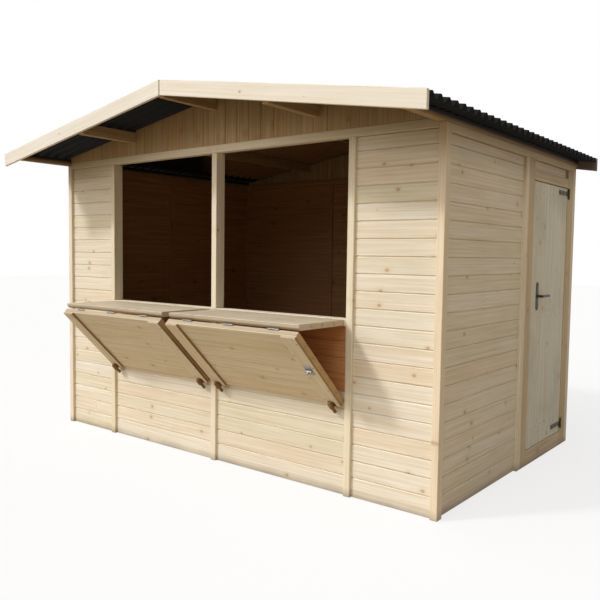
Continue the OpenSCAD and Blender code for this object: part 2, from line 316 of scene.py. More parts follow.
@dataclass(frozen=True)
class Softwood(Finish):
    """Planed spruce or pine: pale earlywood, darker streaks along the grain, brown knots.

    It reads each timber's own grain, held in the mesh, so the streaks follow every board.
    """

    early: str = "#EDE7DA"
    late: str = "#DBCAAB"
    knot: str = "#B08659"
    warm: str = "#FCF5EC"
    cool: str = "#F8F7EC"
    weather: float = 0.12
    grey: str = "#A79C8A"
    blotch: float = 0.35
    plain_tone: float = 0.45
    cool_tone: float = 0.75
    streak_width: float = 0.011
    streak_length: float = 0.45
    streak_band: Band = (0.36, 0.74)
    streak_share: float = 0.75
    ring_width: float = 0.009
    ring_stretch: float = 0.05
    ring_bend: float = 3.0
    ring_share: float = 0.28
    wear_band: Band = (0.42, 0.72)
    knot_run: float = 0.5
    knot_row: float = 0.09
    knot_radius: float = 0.012
    speck_radius: float = 0.0004
    knot_squash: float = 0.75
    knot_scatter: float = 0.9
    knot_chance: Band = (0.5, 1.0)
    knot_edge: Band = (0.4, 1.25)
    knot_share: float = 0.65
    halo_edge: Band = (1.0, 3.0)
    halo_share: float = 0.6
    fibre_width: float = 0.0022
    fibre_length: float = 0.15
    fibre_height: float = 0.0006
    fibre_share: float = 0.6
    relief: float = 0.35
    gloss: Band = (0.52, 0.74)
    shine: float = 0.3
    # Painted shade at the foot: its colour, how high it reaches and how strong it is at the ground
    foot_shade: str = "#6F6250"
    foot_shade_height: float = 0.05
    foot_shade_strength: float = 1.1
    # Painted shade under the roof: its colour, its strength, and how far under the sheets it starts and
    # is full
    eave_shade: str = "#B3A695"
    dust_and_eave_shade: float = 0.0
    eave_shade_reach: float = 0.22
    eave_shade_full: float = 0.0

    def build(self, nodes: Shading) -> None:
        """Builds the wood: streaks, rings, knots, a tint for each board, weathering, and painted shade
        at the foot and close under the roof.

        Args:
            nodes: the material's nodes.
        """
        grain = nodes.held("grain")["Vector"]
        place = nodes.place()
        streak = self.streaks(nodes, grain, self.streak_length, self.streak_width)
        fibre = self.streaks(nodes, grain, self.fibre_length, self.fibre_width)
        rings = add_node(nodes.tree, "ShaderNodeTexWave", {
            "Vector": nodes.vector("MULTIPLY", grain, (self.ring_stretch, 1.0, 1.0))[0],
            "Scale": WAVE_LENGTH / self.ring_width, "Distortion": self.ring_bend, "Detail": 1.0,
        }, wave_type="RINGS", rings_direction="X", wave_profile="SIN").outputs[0]
        knot, halo = self.knots(nodes, grain)
        streaked = nodes.ranged(streak, *self.streak_band, 0.0, self.streak_share)
        late = nodes.maths("MULTIPLY_ADD", rings, self.ring_share, streaked, clamp=True)
        colour = nodes.mix(late, self.early, self.late)
        colour = nodes.mix(1.0, colour, self.tint(nodes), "MULTIPLY")
        colour = nodes.mix(halo, colour, self.late)
        colour = nodes.mix(knot, colour, self.knot)
        blotches = nodes.noise(place, self.blotch, detail=4.0)
        worn = nodes.ranged(blotches, *self.wear_band, 0.0, self.weather)
        colour = nodes.mix(worn, colour, self.grey)
        height = nodes.axes(place)[2]
        # Painted shade: darker towards the foot, in blotches
        foot_shaded = nodes.ranged(height, 0.0, self.foot_shade_height, self.foot_shade_strength, 0.0)
        painted_shading = nodes.maths("MULTIPLY", foot_shaded, blotches, clamp=True)
        colour = nodes.mix(painted_shading, colour, self.foot_shade)
        # Painted shade: darker close under the roof
        if self.dust_and_eave_shade:
            colour = nodes.mix(self.eave_shading(nodes, place), colour, self.eave_shade, "MULTIPLY")
        rough = nodes.ranged(streak, 0.0, 1.0, *self.gloss)
        relief = nodes.maths("MULTIPLY_ADD", fibre, self.fibre_share, rings)
        nodes.surface(colour, rough, relief, self.relief, self.fibre_height, self.shine)

    def streaks(self, nodes: Shading, grain: Socket, length: float, width: float) -> Socket:
        """Draws streaks of this length and width along the grain."""
        at = nodes.vector("MULTIPLY", grain, (1 / length, 1 / width, 1 / width))[0]
        return nodes.noise(at, 1.0, detail=3.0, rough=0.6)

    def tint(self, nodes: Shading) -> Socket:
        """Tints each board a little warmer or cooler, by its tone.

        Args:
            nodes: the material's nodes.

        Returns:
            The tint.
        """
        ramp = add_node(nodes.tree, "ShaderNodeValToRGB", {0: nodes.held("tone")["Fac"]})
        stops = ramp.color_ramp.elements
        stops[0].color = linear(self.warm)
        for at, shade in ((self.plain_tone, "#FFFFFF"), (self.cool_tone, self.cool)):
            stops.new(at).color = linear(shade)
        return ramp.outputs[0]

    def eave_shading(self, nodes: Shading, place: Socket) -> Socket:
        """Paints shade close under the roof, darkest nearest the sheets.

        Args:
            nodes: the material's nodes.
            place: the hut's own coordinates in metres.

        Returns:
            How much painted shade the wood gets.
        """
        across, _, height = nodes.axes(place)
        level = nodes.maths("MULTIPLY_ADD", nodes.maths("ABSOLUTE", across), LINES.slope, height)
        roof = LINES.sheet_under(0.0)
        return nodes.ranged(level, roof - self.eave_shade_reach, roof - self.eave_shade_full, 0.0, self.dust_and_eave_shade)

    def knots(self, nodes: Shading, grain: Socket) -> tuple[Socket, Socket]:
        """Sets round knots along each board, of several sizes.

        Args:
            nodes: the material's nodes.
            grain: the timber's own coordinates in metres.

        Returns:
            The knots, and the darker wood round them.
        """
        cell = nodes.vector("MULTIPLY", grain, (1 / self.knot_run, 1 / self.knot_row, 0.0))[0]
        spots = add_node(nodes.tree, "ShaderNodeTexVoronoi", {
            "Vector": cell, "Scale": 1.0, "Randomness": self.knot_scatter,
        }, voronoi_dimensions="2D").outputs
        away = nodes.vector("SUBTRACT", spots["Position"], cell)[0]
        reach = (self.knot_run * self.knot_squash, self.knot_row, 0.0)
        apart = nodes.vector("MULTIPLY", away, reach)[0]
        distance = nodes.vector("LENGTH", apart)["Value"]
        chance = add_node(nodes.tree, "ShaderNodeSeparateColor", {0: spots["Color"]}).outputs[0]
        radius = nodes.ranged(chance, *self.knot_chance, self.speck_radius, self.knot_radius)
        ratio = nodes.maths("DIVIDE", distance, radius)
        knot = nodes.ranged(ratio, *self.knot_edge, self.knot_share, 0.0, "SMOOTHSTEP")
        return knot, nodes.ranged(ratio, *self.halo_edge, self.halo_share, 0.0)


@dataclass(frozen=True)
class BitumenSheet(Finish):
    """Bitumen-soaked fibre board: matt black with a felt grain and powdery patches; one kind adds brown
    painted bounce light.
    """

    dark: str = "#0D0C0B"
    dust_and_eave_shade: str = "#1B1815"
    brown: str = "#8A6845"
    painted_bounce_light: float = 0.0
    brown_low: float = -0.95
    brown_high: float = -0.6
    fibre: float = 0.006
    fibre_height: float = 0.0008
    patch: float = 0.2
    dust_band: Band = (0.12, 0.42)
    relief: float = 0.5
    gloss: Band = (0.72, 0.95)
    shine: float = 0.25

    def build(self, nodes: Shading) -> None:
        """Builds the sheet: mottled black, fibrous relief, no shine, and brown painted bounce light if
        set.

        Args:
            nodes: the material's nodes.
        """
        place = nodes.place()
        patches = nodes.noise(place, self.patch, detail=6.0, rough=0.65)
        felt = nodes.noise(place, self.fibre, detail=3.0, rough=0.7)
        spread = nodes.ranged(nodes.maths("MULTIPLY", patches, felt), *self.dust_band)
        colour = nodes.mix(spread, self.dark, self.dust_and_eave_shade)
        # Painted bounce light: brown towards the back and the door
        if self.painted_bounce_light:
            across, back, _ = nodes.axes(place)
            inward = nodes.maths("ADD", across, back)
            painted_shading = nodes.ranged(inward, self.brown_low, self.brown_high, 0.0, self.painted_bounce_light)
            colour = nodes.mix(painted_shading, colour, self.brown)
        rough = nodes.ranged(felt, 0.0, 1.0, *self.gloss)
        nodes.surface(colour, rough, felt, self.relief, self.fibre_height, self.shine)


@dataclass(frozen=True)
class MetalCoat(Finish):
    """Black paint, rust or dulled zinc on pressed steel: pebbled skin, rubbed lighter patches."""

    base: str = "#30271A"
    rubbed: str = "#554833"
    metallic: float = 0.0
    shine: float = 0.3
    smooth: float = 0.34
    dull: float = 0.56
    pebble: float = 0.0018
    pebble_height: float = 0.0002
    patch: float = 0.03
    rubbed_band: Band = (0.45, 0.75)
    relief: float = 0.2

    def build(self, nodes: Shading) -> None:
        """Builds the coat: two shades, uneven gloss and a pebbled skin.

        Args:
            nodes: the material's nodes.
        """
        place = nodes.place()
        patches = nodes.noise(place, self.patch, detail=5.0, rough=0.7)
        skin = nodes.noise(place, self.pebble, detail=1.0)
        colour = nodes.mix(nodes.ranged(patches, *self.rubbed_band), self.base, self.rubbed)
        rough = nodes.ranged(patches, 0.0, 1.0, self.smooth, self.dull)
        nodes.surface(colour, rough, skin, self.relief, self.pebble_height, self.shine,
                      self.metallic)


# The woods' amount of darkening under the roof is painted shade, strongest nearest the sheets
FRAME_PINE = Softwood("planed_spruce_frame", early="#F0E7D5", late="#DECDAE", dust_and_eave_shade=1.0)
BOARD_PINE = Softwood("planed_spruce_boards", dust_and_eave_shade=1.0)
# The eave purlins are drawn darker as painted shade, nearly black just under the sheets
EAVE_PINE = Softwood("painted_shade_spruce_eave_purlins", early="#A88C66", late="#84653F", weather=0.2,
                     eave_shade="#2B2118", dust_and_eave_shade=1.0, eave_shade_reach=0.037, eave_shade_full=0.013)
# The gable boards are drawn darker as painted shade under the overhang
GABLE_PINE = Softwood("shaded_spruce_gable", early="#C7AE88", late="#9E8058", weather=0.1, dust_and_eave_shade=0.5)
# Room-side faces are drawn dark brown as painted shade for the dim room
INNER_PINE = Softwood("painted_shade_spruce_inside", early="#B48055", late="#865A35", knot="#4A2E18",
                      weather=0.05)
# Faces under the flaps are drawn orange-brown as painted shade, for light bounced between the wood
FLAP_SHADE_PINE = Softwood("shaded_spruce_under_flaps", early="#DCA470", late="#BC824C", weather=0.05)
# Flap ends, batten edges and the rims at the fold are drawn darker as painted shade
END_PINE = Softwood("painted_shade_spruce_flap_ends", early="#C9A977", late="#AE8C5C", weather=0.2)
EDGE_PINE = Softwood("painted_shade_spruce_batten_edges", early="#A98A5C", late="#876740", weather=0.2)
RIM_PINE = Softwood("painted_shade_spruce_flap_rims", early="#BDAE95", late="#A28E70", weather=0.2)
FASCIA_PINE = Softwood("planed_spruce_fascia", early="#E9E7DF", late="#DDD6C6", weather=0.05)
STAINED_PINE = Softwood("stained_spruce_back_fascia", early="#7C716A", late="#61574F",
                        knot="#3B322C", warm="#FFF8F4", cool="#FAFAF6")
FLAP_PINE = Softwood("planed_spruce_flaps", early="#E8DEC8", late="#D0BD9A", weather=0.1)
DOOR_PINE = Softwood("weathered_spruce_door", early="#E7E6DA", late="#CFCAB7", weather=0.5,
                     grey="#ABA79A")
JAMB_PINE = Softwood("aged_spruce_door_frame", early="#D9C7A8", late="#B79C74", weather=0.25,
                     dust_and_eave_shade=1.0)
COUNTER_PINE = Softwood("worn_spruce_counter", early="#D8CBB8", late="#BCA98D", weather=0.3)
ROOF_PINE = Softwood("sawn_spruce_roof_timber", early="#C0A67E", late="#95744C", weather=0.2,
                     dust_and_eave_shade=0.4)
BITUMEN = BitumenSheet("corrugated_bitumen")
# Inside, the sheets' underside is drawn brown towards the back and the door: painted bounce light
ROOM_BITUMEN = BitumenSheet("painted_bounce_light_bitumen", painted_bounce_light=0.9)
BLACK_IRON = MetalCoat("black_painted_steel")
RUSTY_IRON = MetalCoat("rusted_black_steel", base="#77552F", rubbed="#97724A", smooth=0.5, dull=0.75)
WORN_IRON = MetalCoat("weathered_black_steel", base="#4C412E", rubbed="#6D6048")
ZINC = MetalCoat("dulled_zinc_plate", base="#8F8E88", rubbed="#A9A7A0", metallic=0.85,
                 shine=0.5, smooth=0.4, dull=0.6)


@dataclass(frozen=True)
class Solid:
    """The box that one solid of a CAD node fills."""

    low: Vector
    high: Vector

    @property
    def size(self) -> Vector:
        """Length of each side."""
        return self.high - self.low

    @property
    def centre(self) -> Vector:
        """Middle of the box."""
        return (self.high + self.low) / 2


def solids(node: str) -> list[Solid]:
    """Finds the separate solids of a CAD node.

    Args:
        node: the node's name.

    Returns:
        The box of each solid, from left to right, front to back and low to high.
    """
    copy = bmesh.new()
    copy.from_mesh(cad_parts[node].data)
    bmesh.ops.remove_doubles(copy, verts=copy.verts, dist=WELD)
    seen: set[int] = set()
    copy.verts.index_update()
    found = []
    for start in copy.verts:
        if start.index in seen:
            continue
        seen.add(start.index)
        group = [start]
        for vert in group:
            for edge in vert.link_edges:
                other = edge.other_vert(vert)
                if other.index not in seen:
                    seen.add(other.index)
                    group.append(other)
        low, high = [Vector([pick(vert.co[i] for vert in group) for i in range(3)])
                     for pick in (min, max)]
        found.append(Solid(low, high))
    copy.free()
    return sorted(found, key=lambda solid: tuple(round(value, 4) for value in solid.low))


def steps(start: float, length: float, count: int) -> list[float]:
    """Shares out a length evenly and hands out the ends of the shares."""
    return [start + length * i / count for i in range(count + 1)]


def lie(centre: Vector, along: Vector, facing: Vector) -> Matrix:
    """Frame of a timber: X along its grain, Z out of its face.

    Args:
        centre: the timber's middle.
        along: the way its grain runs.
        facing: the way its better face looks.

    Returns:
        The matrix from the timber's frame to the hut's.
    """
    frame_axes = Matrix((along, facing.cross(along), facing)).transposed().to_4x4()
    frame_axes.translation = centre
    return frame_axes


def ease(mesh: Mesh, edges: Iterable[Edge], width: float, segments: int = 2) -> None:
    """Takes the sharpness off edges by a bevel of this width."""
    bmesh.ops.bevel(mesh, geom=list(edges), offset=width, offset_type="OFFSET", segments=segments,
                    profile=0.5, affect="EDGES", material=-1, clamp_overlap=True)


def split(mesh: Mesh, point: Vector, normal: Vector, drop: bool) -> list[Edge]:
    """Splits the faces of a mesh along a plane.

    Args:
        mesh: the mesh.
        point: a point of the plane.
        normal: the way that the plane looks.
        drop: whether what lies that way is cut off.

    Returns:
        The edges in the plane.
    """
    found = bmesh.ops.bisect_plane(
        mesh, geom=mesh.verts[:] + mesh.edges[:] + mesh.faces[:], plane_co=point,
        plane_no=normal, clear_outer=drop)
    return [item for item in found["geom_cut"] if isinstance(item, Edge)]


def looks_inward(face: Face) -> bool:
    """Tells whether a face of the walls or gables looks into the room.

    Args:
        face: the face, in the hut's frame.

    Returns:
        True for the room side of an end wall or a side wall.
    """
    middle = face.calc_center_median()
    ahead = middle.y - ROOM_MIDDLE
    if abs(middle.x) < ROOM_HALF_WIDTH:
        return face.normal.y * ahead < -ROOM_HALF_DEPTH / 2
    return abs(ahead) < ROOM_HALF_DEPTH and face.normal.x * middle.x < -ROOM_HALF_WIDTH * FACES_ALONG


def stands_in_room(face: Face) -> bool:
    """Tells whether a face of a side or back timber lies on the room side of the boards.

    Args:
        face: the face, in the hut's frame.

    Returns:
        True inside the middles of the boards.
    """
    middle = face.calc_center_median()
    within = -ROOM_HALF_DEPTH < middle.y - ROOM_MIDDLE < BOARDS_HALF_DEPTH
    return within and abs(middle.x) < BOARDS_HALF_WIDTH


def lies_under_flap(face: Face) -> bool:
    """Tells whether an outer face of an apron stays in the shade of a flap."""
    return face.normal.y < -FACES_ABOUT and face.calc_center_median().z > FLAP_SHADE_LOW


def roofs_the_room(face: Face) -> bool:
    """Tells whether a face of a sheet looks down into the room.

    Args:
        face: the face, in the hut's frame.

    Returns:
        True for the underside over the room.
    """
    middle = face.calc_center_median()
    within = abs(middle.x) < ROOM_HALF_WIDTH and abs(middle.y - ROOM_MIDDLE) < SHEET_HALF_DEPTH
    return face.normal.z < 0.0 and within


@dataclass(frozen=True)
class Looking:
    """Test of the faces that look one way, or the opposite way too if both count."""

    way: Vector
    both: bool = False

    def __call__(self, face: Face) -> bool:
        """Tells whether a face looks that way."""
        turn = face.normal.dot(self.way)
        return (abs(turn) if self.both else turn) > FACES_ALONG


# INSIDE, IN_ROOM and SHADED_APRON wear painted shade; UNDER_ROOF wears painted bounce light
INSIDE: Zone = (INNER_PINE, looks_inward)
IN_ROOM: Zone = (INNER_PINE, stands_in_room)
INSIDE_GABLE: Zone = (ROOF_PINE, looks_inward)
SHADED_APRON: Zone = (FLAP_SHADE_PINE, lies_under_flap)
UNDER_ROOF: Zone = (ROOM_BITUMEN, roofs_the_room)


class Piece:
    """One piece of the hut while it is made: a mesh in the hut's frame."""

    def __init__(self, name: str) -> None:
        """Starts an empty piece.

        Args:
            name: the piece's name.
        """
        self.name = name
        self.mesh = bmesh.new()

    def polish(self) -> None:
        """Gives the mesh its last touch, where a kind of piece needs one."""

    def finish(
        self, finish: Finish, slot: str, *nodes: str, body: str = "hut", zones: Sequence[Zone] = (),
    ) -> None:
        """Makes the piece's object.

        Args:
            finish: what it is made of.
            slot: the record's material slot; not used.
            nodes: the CAD nodes that it stands for.
            body: the CAD body that it rides on.
            zones: other finishes, each with the test of the faces that wear it.
        """
        self.polish()
        for index, (_, wears) in enumerate(zones, 1):
            for face in self.mesh.faces:
                if wears(face):
                    face.material_index = index
        data = bpy.data.meshes.new(self.name)
        self.mesh.to_mesh(data)
        self.mesh.free()
        for coat in (finish, *(other for other, _ in zones)):
            data.materials.append(coat.material())
        piece = bpy.data.objects.new(self.name, data)
        bpy.context.scene.collection.objects.link(piece)
        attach(piece, body)
        if nodes:
            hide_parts(*nodes)
        LOG.info("%s: %d faces on %s", self.name, len(data.polygons), body)


class Joinery(Piece):
    """Collects the timbers of one piece in one mesh, each with its own run of grain."""

    def __init__(self, name: str) -> None:
        """Starts an empty piece.

        Args:
            name: the piece's name, which also seeds its grain.
        """
        super().__init__(name)
        self.chance = random.Random(name)
        self.grain = self.mesh.verts.layers.float_vector.new("grain")
        self.tone = self.mesh.verts.layers.float.new("tone")

    def add(
        self, size: Vector, place: Matrix, arris: float = 0.0025, vee: float = 0.0,
        cuts: Sequence[Cut] = (),
    ) -> None:
        """Adds one timber.

        Args:
            size: its length along the grain, width and thickness.
            place: the matrix from its frame to the hut's.
            arris: how far its edges are rounded, if it has no vee.
            vee: the bevel on the long edges of its face, for a boarded panel.
            cuts: planes in the hut's frame, each a point and the way that is cut off.
        """
        stick = bmesh.new()
        bmesh.ops.create_cube(stick, size=1.0)
        bmesh.ops.scale(stick, vec=size, verts=stick.verts)
        back = place.inverted()
        for point, normal in cuts:
            rim = split(stick, back @ point, back.to_3x3() @ normal, drop=True)
            if rim:
                bmesh.ops.contextual_create(stick, geom=rim)
        if vee:
            lips = [edge for edge in stick.edges
                    if all(vert.co.z > 0 for vert in edge.verts)
                    and abs(edge.verts[0].co.x - edge.verts[1].co.x) > size.x / 2]
            ease(stick, lips, vee, 1)
        elif arris:
            ease(stick, stick.edges, arris)
        self.take(stick, place)

    def take(self, stick: Mesh, place: Matrix) -> None:
        """Joins a shaped timber to the piece with a run of grain of its own.

        Args:
            stick: the timber in its own frame; it is freed.
            place: the matrix from its frame to the hut's.
        """
        shift = Vector((self.chance.uniform(0, 60), self.chance.uniform(-0.06, 0.06),
                        self.chance.uniform(0.03, 0.12)))
        tone = self.chance.random()
        run = [vert.co + shift for vert in stick.verts]
        stick.transform(place)
        sketch = bpy.data.meshes.new("stick")
        stick.to_mesh(sketch)
        stick.free()
        first = len(self.mesh.verts)
        self.mesh.from_mesh(sketch)
        bpy.data.meshes.remove(sketch)
        self.mesh.verts.ensure_lookup_table()
        for vert, coordinate in zip(self.mesh.verts[first:], run):
            vert[self.grain] = coordinate
            vert[self.tone] = tone


class Ironmongery(Piece):
    """Collects the metal shapes of one piece in one mesh."""

    rod_sides: int = 16
    rod_ease: float = 0.2
    head_sides: int = 10
    head_crown: float = 0.62
    head_seat: float = 0.45
    head_rim: float = 0.3
    socket_lift: float = -0.5
    dome_lift: float = 0.2

    def shape(self, node: str, arris: float = 0.0009) -> None:
        """Takes over the shape of a CAD node and eases its sharp edges.

        Args:
            node: the CAD node.
            arris: how far the edges are rounded.
        """
        self.mesh.from_mesh(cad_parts[node].data)
        bmesh.ops.remove_doubles(self.mesh, verts=self.mesh.verts, dist=WELD)
        bmesh.ops.dissolve_limit(self.mesh, angle_limit=FLAT,
                                 verts=self.mesh.verts, edges=self.mesh.edges)
        rims = [edge for edge in self.mesh.edges
                if edge.is_manifold and edge.calc_face_angle_signed() > RIM]
        ease(self.mesh, rims, arris)

    def rod(self, start: Vector, end: Vector, radius: float) -> None:
        """Adds a round bar with eased ends.

        Args:
            start: the middle of one end.
            end: the middle of the other.
            radius: half its thickness.
        """
        turn = (end - start).to_track_quat("Z", "Y").to_matrix().to_4x4()
        made = bmesh.ops.create_cone(
            self.mesh, cap_ends=True, segments=self.rod_sides, radius1=radius, radius2=radius,
            depth=(end - start).length, matrix=Matrix.Translation((start + end) / 2) @ turn)
        rims = {edge for vert in made["verts"] for edge in vert.link_edges
                if edge.calc_face_angle(0.0) > RIM}
        ease(self.mesh, rims, radius * self.rod_ease)

    def head(self, at: Vector, facing: Vector, radius: float, rise: float, socket: bool = True) -> None:
        """Sets the head of a screw, nail or bolt.

        Args:
            at: where it lies on the surface.
            facing: the way it looks.
            radius: half its width.
            rise: how far it stands out.
            socket: whether a driver's socket is sunk in it, or else its middle is domed.
        """
        turn = facing.to_track_quat("Z", "Y").to_matrix().to_4x4()
        made = bmesh.ops.create_cone(
            self.mesh, cap_ends=True, segments=self.head_sides, radius1=radius,
            radius2=radius * self.head_crown, depth=rise,
            matrix=Matrix.Translation(at + facing * rise * self.head_seat) @ turn)
        top = [face for face in {face for vert in made["verts"] for face in vert.link_faces}
               if face.normal.dot(facing) > FACES_ALONG]
        lift = rise * (self.socket_lift if socket else self.dome_lift)
        bmesh.ops.inset_individual(self.mesh, faces=top, thickness=radius * self.head_rim,
                                   depth=lift)

    def polish(self) -> None:
        """Makes the metal smooth but for its sharp edges."""
        for face in self.mesh.faces:
            face.smooth = True
        for edge in self.mesh.edges:
            edge.smooth = edge.calc_face_angle(0.0) < CREASE


@dataclass(frozen=True)
class Boarding:
    """Tongued and grooved boards with a vee at each joint, filling a CAD solid."""

    cover: float = 0.0878
    vee: float = 0.004
    slit: float = 0.0016
    tongue: float = 0.008
    uneven: float = 0.0007
    narrowest: float = 0.25
    vee_share: float = 0.25

    def joints(self, low: float, high: float, first: float) -> list[float]:
        """Places of the joints across a panel.

        Args:
            low: where the panel starts.
            high: where it ends.
            first: the first joint.

        Returns:
            The edges of the boards, from low to high.
        """
        count = math.ceil((high - self.cover * self.narrowest - first) / self.cover)
        return [low] + [first + i * self.cover for i in range(count)] + [high]

    def fill(
        self, work: Joinery, solid: Solid, facing: Vector, run: Run, edges: Sequence[float],
        place: Matrix = Matrix.Identity(4), cuts: Sequence[Cut] = (),
    ) -> None:
        """Fills a solid with boards.

        Args:
            work: the piece that gets the boards.
            solid: the box to fill.
            facing: the way the boards' faces look, along an axis.
            run: the way they run.
            edges: the edges of the boards across the panel.
            place: a frame that the panel is turned by, if any.
            cuts: planes that the boards are cut by, each a point and the way that is cut off.
        """
        depth = max(range(3), key=lambda i: abs(facing[i]))
        flat = [i for i in range(3) if i != depth]
        along, across = flat if run is Run.LEVEL else flat[::-1]
        centre = solid.centre
        for low, high in zip(edges, edges[1:]):
            size = Vector((solid.size[along], high - low - self.slit, solid.size[depth]))
            centre[across] = (low + high) / 2
            sunk = work.chance.uniform(0, self.uneven)
            work.add(size - Z * sunk, place @ lie(centre - facing * sunk / 2, AXES[along], facing),
                     vee=min(self.vee, size.y * self.vee_share), cuts=cuts)
        for joint in edges[1:-1]:
            size = Vector((solid.size[along], self.tongue, solid.size[depth] / 3))
            centre[across] = joint
            work.add(size, place @ lie(centre, AXES[along], facing), arris=0.0)


def square_timbers(
    node: str, arris: float, finish: Finish, slot: str, body: str = "hut",
    zones: Sequence[Zone] = (), lines: Sequence[Cut] = (),
) -> None:
    """Stands a rounded timber in place of each solid of a node.

    Args:
        node: the CAD node.
        arris: how far the edges are rounded.
        finish: what the timber is.
        slot: the record's material slot.
        body: the CAD body that it rides on.
        zones: other finishes, each with the test of the faces that wear it.
        lines: planes at which a finish may end, each a point and the way it looks.
    """
    work = Joinery(node + "_timber")
    for solid in solids(node):
        thin, wide, long = sorted(range(3), key=lambda i: solid.size[i])
        work.add(Vector((solid.size[long], solid.size[wide], solid.size[thin])),
                 lie(solid.centre, AXES[long], AXES[thin]), arris=arris)
    for point, normal in lines:
        split(work.mesh, point, normal, drop=False)
    work.finish(finish, slot, node, body=body, zones=zones)


@dataclass
class WallFrame:
    """Posts, rails, plates and sills: square timbers with rounded arrises."""

    arris: float = 0.003
    front: tuple[str, ...] = (
        "front_corner_posts", "hatch_posts", "front_top_rail", "hatch_sills",
    )
    behind: tuple[str, ...] = (
        "back_corner_posts", "back_posts", "back_top_rail", "left_wall_post", "side_plates",
        "right_wall_post",
    )

    def build(self) -> None:
        """Makes one piece for each node of the frame, with painted shade where it stands in the room.
        """
        lines = [(X * BOARDS_HALF_WIDTH, X), (-X * BOARDS_HALF_WIDTH, X),
                 (Y * (ROOM_MIDDLE + BOARDS_HALF_DEPTH), Y)]
        for node in self.front:
            square_timbers(node, self.arris, FRAME_PINE, "pine_frame", zones=[INSIDE])
        for node in self.behind:
            square_timbers(node, self.arris, FRAME_PINE, "pine_frame", zones=[IN_ROOM], lines=lines)


@dataclass
class WallBoarding:
    """The level boards of all four walls, with joints at the same heights all round."""

    boards: Boarding = Boarding()
    first_joint: float = 0.104
    panels: tuple[tuple[str, Vector], ...] = (
        ("front_side_panels", -Y), ("hatch_aprons", -Y), ("back_wall_panels", Y),
        ("left_wall_panels", -X), ("right_wall_panel", X), ("over_door_panel", X),
    )

    def build(self) -> None:
        """Boards each panel between its posts."""
        for node, facing in self.panels:
            work = Joinery(node + "_boards")
            for solid in solids(node):
                first = self.first_joint
                while first < solid.low.z + self.boards.cover * self.boards.narrowest:
                    first += self.boards.cover
                edges = self.boards.joints(solid.low.z, solid.high.z, first)
                self.boards.fill(work, solid, facing, Run.LEVEL, edges)
            # Inner faces, and apron boards under the flaps, wear painted shade
            zones = [INSIDE, SHADED_APRON] if node == "hatch_aprons" else [INSIDE]
            work.finish(BOARD_PINE, "pine_boards", node, zones=zones)


@dataclass
class FloorBase:
    """Bearers under a boarded floor."""

    arris: float = 0.003
    plank: float = 0.12
    boards: Boarding = Boarding(vee=0.002)

    def build(self) -> None:
        """Makes the bearers and the floor's planks."""
        square_timbers("floor_bearers", self.arris, ROOF_PINE, "pine_frame")
        deck = Joinery("floor_deck_planks")
        solid = solids("floor_deck")[0]
        edges = steps(solid.low.y, solid.size.y, round(solid.size.y / self.plank))
        self.boards.fill(deck, solid, Z, Run.LEVEL, edges)
        deck.finish(ROOF_PINE, "pine_boards", "floor_deck")


@dataclass
class Gables:
    """Upright boards over the front and back rails, cut to the slopes and round the purlins."""

    boards: Boarding = Boarding(cover=0.0915, vee=0.003)
    edge_gap: float = 0.002
    front_lift: float = 0.021
    notch_slack: float = 0.0006
    purlins: tuple[float, ...] = (-0.75, 0.0, 0.75)

    def build(self) -> None:
        """Boards the front gable and the back one."""
        self.board("front_gable", -Y, self.front_lift)
        self.board("back_gable", Y, 0.0)

    def board(self, node: str, facing: Vector, lift: float) -> None:
        """Boards one gable.

        Args:
            node: the CAD node.
            facing: the way it looks.
            lift: how far its top runs up into the corrugations.
        """
        work = Joinery(node + "_boards")
        low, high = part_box(node)
        half = LINES.purlin_w / 2 + self.notch_slack / 2
        width = high.x - low.x
        joints = steps(low.x, width, round(width / self.boards.cover))
        notches = [(x - half, x + half, LINES.purlin_under(x)) for x in self.purlins]
        marks = sorted(joints + [edge for left, right, _ in notches for edge in (left, right)])
        top = LINES.sheet_under(0.0) - self.edge_gap + lift
        for left, right in zip(marks, marks[1:]):
            if right - left < self.boards.slit:
                continue
            centre = (left + right) / 2
            slot = [under for start, end, under in notches if start < centre < end]
            ceiling = slot[0] if slot else top
            size = Vector((ceiling - low.z, right - left - self.boards.slit / 2, high.y - low.y))
            middle = Vector((centre, (low.y + high.y) / 2, (low.z + ceiling) / 2))
            jointed = left in joints and right in joints
            work.add(size, lie(middle, Z, facing), arris=0.0, vee=self.boards.vee if jointed else 0.0,
                     cuts=() if slot else LINES.slope_cuts(top))
        work.finish(GABLE_PINE, "pine_boards", node, zones=[INSIDE_GABLE])


